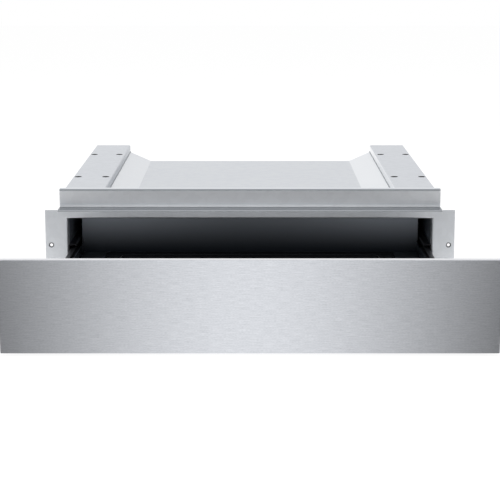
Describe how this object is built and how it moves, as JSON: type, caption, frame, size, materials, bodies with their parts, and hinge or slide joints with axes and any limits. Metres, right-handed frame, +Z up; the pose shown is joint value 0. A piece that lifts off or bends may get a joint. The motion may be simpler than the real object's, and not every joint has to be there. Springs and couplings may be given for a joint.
{
  "type": "built-in warming drawer",
  "caption": "Built-in warming drawer with a plain brushed steel front, a heated glass floor on telescopic rails and a sheet-metal case with rails on top.",
  "frame": {"origin": "on the case's underside, in the middle of its width, in the plane of the mounting frame's back face", "axes": "+Z up, +Y into the cabinet, +X to the right of a person facing the front; the stored pose is the fully open drawer"},
  "size_m": [0.595, 0.958, 0.1315],
  "materials": {
    "brushed_stainless": "fine horizontal brushing",
    "galvanised_sheet": "satin zinc coating",
    "black_enamel": "satin black",
    "black_glass": "polished black",
    "silicone": "matt",
    "zinc_steel": "bright zinc",
    "black_zinc": "black passivated zinc",
    "mineral_wool": "fibrous",
    "element_steel": "heat-darkened",
    "black_plastic": "fine grain",
    "dark_knob": "soft satin",
    "amber_lens": "clear amber",
    "black_rubber": "matt",
    "white_plastic": "plain"
  },
  "bodies": {
    "case": {"front_frame": "galvanised_sheet", "front_crossbar": "galvanised_sheet", "base_plate": "galvanised_sheet", "top_cover": "galvanised_sheet", "rear_panel": "galvanised_sheet", "terminal_cover": "galvanised_sheet", "left_side_panel": "galvanised_sheet", "right_side_panel": "galvanised_sheet", "left_support_rail": "galvanised_sheet", "right_support_rail": "galvanised_sheet", "cavity_liner": "black_enamel", "rear_bulkhead": "black_enamel", "case_fasteners": "zinc_steel", "left_outer_rail": "black_zinc", "right_outer_rail": "black_zinc", "ceiling_insulation": "mineral_wool", "left_side_insulation": "mineral_wool", "right_side_insulation": "mineral_wool", "latch_body": "black_plastic", "cable_gland": "black_plastic", "retractile_lead": "black_rubber", "lead_grommet": "black_rubber", "supply_wires": "black_rubber", "terminal_block": "white_plastic"},
    "drawer": {"front_panel": "brushed_stainless", "front_backing": "galvanised_sheet", "front_insulation": "mineral_wool", "front_seal": "silicone", "drawer_pan": "black_enamel", "drawer_deck": "black_enamel", "glass_plate": "black_glass", "glass_seal": "silicone", "heating_element": "element_steel", "heater_supports": "zinc_steel", "pan_insulation": "mineral_wool", "thermal_cutout": "black_plastic", "sensor_bulb": "element_steel", "drawer_rear_wall": "black_enamel", "left_front_bracket": "galvanised_sheet", "right_front_bracket": "galvanised_sheet", "drawer_fasteners": "zinc_steel", "left_inner_rail": "black_zinc", "right_inner_rail": "black_zinc", "control_housing": "black_plastic", "thermostat_body": "black_plastic", "switch_body": "black_plastic", "pilot_lens": "amber_lens", "latch_striker": "zinc_steel", "lead_clip": "black_plastic"},
    "left_middle": {"left_middle_rail": "black_zinc"},
    "right_middle": {"right_middle_rail": "black_zinc"},
    "left_outer_balls": {"left_outer_cage": "black_zinc"},
    "right_outer_balls": {"right_outer_cage": "black_zinc"},
    "left_inner_balls": {"left_inner_cage": "black_zinc"},
    "right_inner_balls": {"right_inner_cage": "black_zinc"},
    "knob": {"temperature_knob": "dark_knob"},
    "rocker": {"switch_rocker": "dark_knob"},
    "plunger": {"latch_plunger": "dark_knob"}
  },
  "joints": [
    {"name": "drawer_slide", "type": "slide", "parent": "case", "child": "drawer", "axis": [0, 1, 0], "range_m": [0, 0.395], "deforming": ["retractile_lead"]},
    {"name": "left_middle_slide", "type": "slide", "parent": "case", "child": "left_middle", "axis": [0, 1, 0], "range_m": [0, 0.1975]},
    {"name": "right_middle_slide", "type": "slide", "parent": "case", "child": "right_middle", "axis": [0, 1, 0], "range_m": [0, 0.1975]},
    {"name": "left_outer_balls_slide", "type": "slide", "parent": "case", "child": "left_outer_balls", "axis": [0, 1, 0], "range_m": [0, 0.09875]},
    {"name": "right_outer_balls_slide", "type": "slide", "parent": "case", "child": "right_outer_balls", "axis": [0, 1, 0], "range_m": [0, 0.09875]},
    {"name": "left_inner_balls_slide", "type": "slide", "parent": "case", "child": "left_inner_balls", "axis": [0, 1, 0], "range_m": [0, 0.29625]},
    {"name": "right_inner_balls_slide", "type": "slide", "parent": "case", "child": "right_inner_balls", "axis": [0, 1, 0], "range_m": [0, 0.29625]},
    {"name": "temperature_turn", "type": "hinge", "parent": "drawer", "child": "knob", "pos_m": [0.141, -0.3797, 0.0586], "axis": [0, 0, -1], "range_deg": [0, 270]},
    {"name": "power_rocker", "type": "hinge", "parent": "drawer", "child": "rocker", "pos_m": [0.183, -0.3797, 0.057], "axis": [0, 1, 0], "range_deg": [0, 14]},
    {"name": "latch_press", "type": "slide", "parent": "case", "child": "plunger", "axis": [0, 1, 0], "range_m": [0, 0.004], "stiffness_N_per_m": 500, "springref_m": -0.004}
  ],
  "couplings": [
    {"joint": "left_middle_slide", "follows": "drawer_slide", "ratio": 0.5},
    {"joint": "right_middle_slide", "follows": "drawer_slide", "ratio": 0.5},
    {"joint": "left_outer_balls_slide", "follows": "drawer_slide", "ratio": 0.25},
    {"joint": "right_outer_balls_slide", "follows": "drawer_slide", "ratio": 0.25},
    {"joint": "left_inner_balls_slide", "follows": "drawer_slide", "ratio": 0.75},
    {"joint": "right_inner_balls_slide", "follows": "drawer_slide", "ratio": 0.75}
  ]
}
